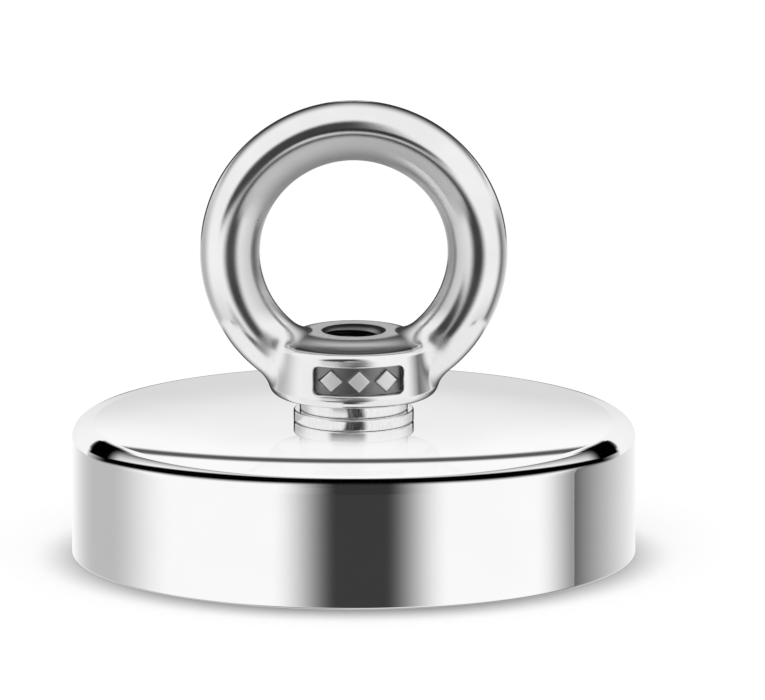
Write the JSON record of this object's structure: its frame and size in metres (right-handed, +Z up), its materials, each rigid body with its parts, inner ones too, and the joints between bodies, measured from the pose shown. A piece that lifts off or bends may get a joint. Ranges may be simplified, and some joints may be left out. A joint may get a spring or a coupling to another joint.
{
  "type": "pot magnet with eye nut",
  "caption": "Flat round steel pot magnet with a ring-shaped magnet inside and a cast eye nut on top, for lifting or retrieving iron objects on a rope.",
  "frame": {"origin": "centre of the gripping face, on the plane that the pot's rim stands on", "axes": "+Z up along the bolt's axis, from the gripping face to the eye; X across the pot in the plane of the eye; Y through the eye, with the sunk panel towards -Y"},
  "size_m": [0.075, 0.075, 0.0614],
  "materials": {
    "plated_pot": "bright nickel plate, mirror-like",
    "plated_magnet": "nickel plate, semi-bright",
    "epoxy": "cast dark epoxy, dull",
    "bolt_steel": "plain stainless, satin",
    "washer_steel": "stamped stainless, fine satin edge",
    "polished_nut": "polished cast stainless"
  },
  "bodies": {
    "root": {"steel_pot": "plated_pot", "ring_magnet": "plated_magnet", "epoxy_seal": "epoxy", "countersunk_bolt": "bolt_steel", "flat_washer": "washer_steel", "spring_washer": "washer_steel", "eye_nut": "polished_nut"}
  },
  "joints": []
}
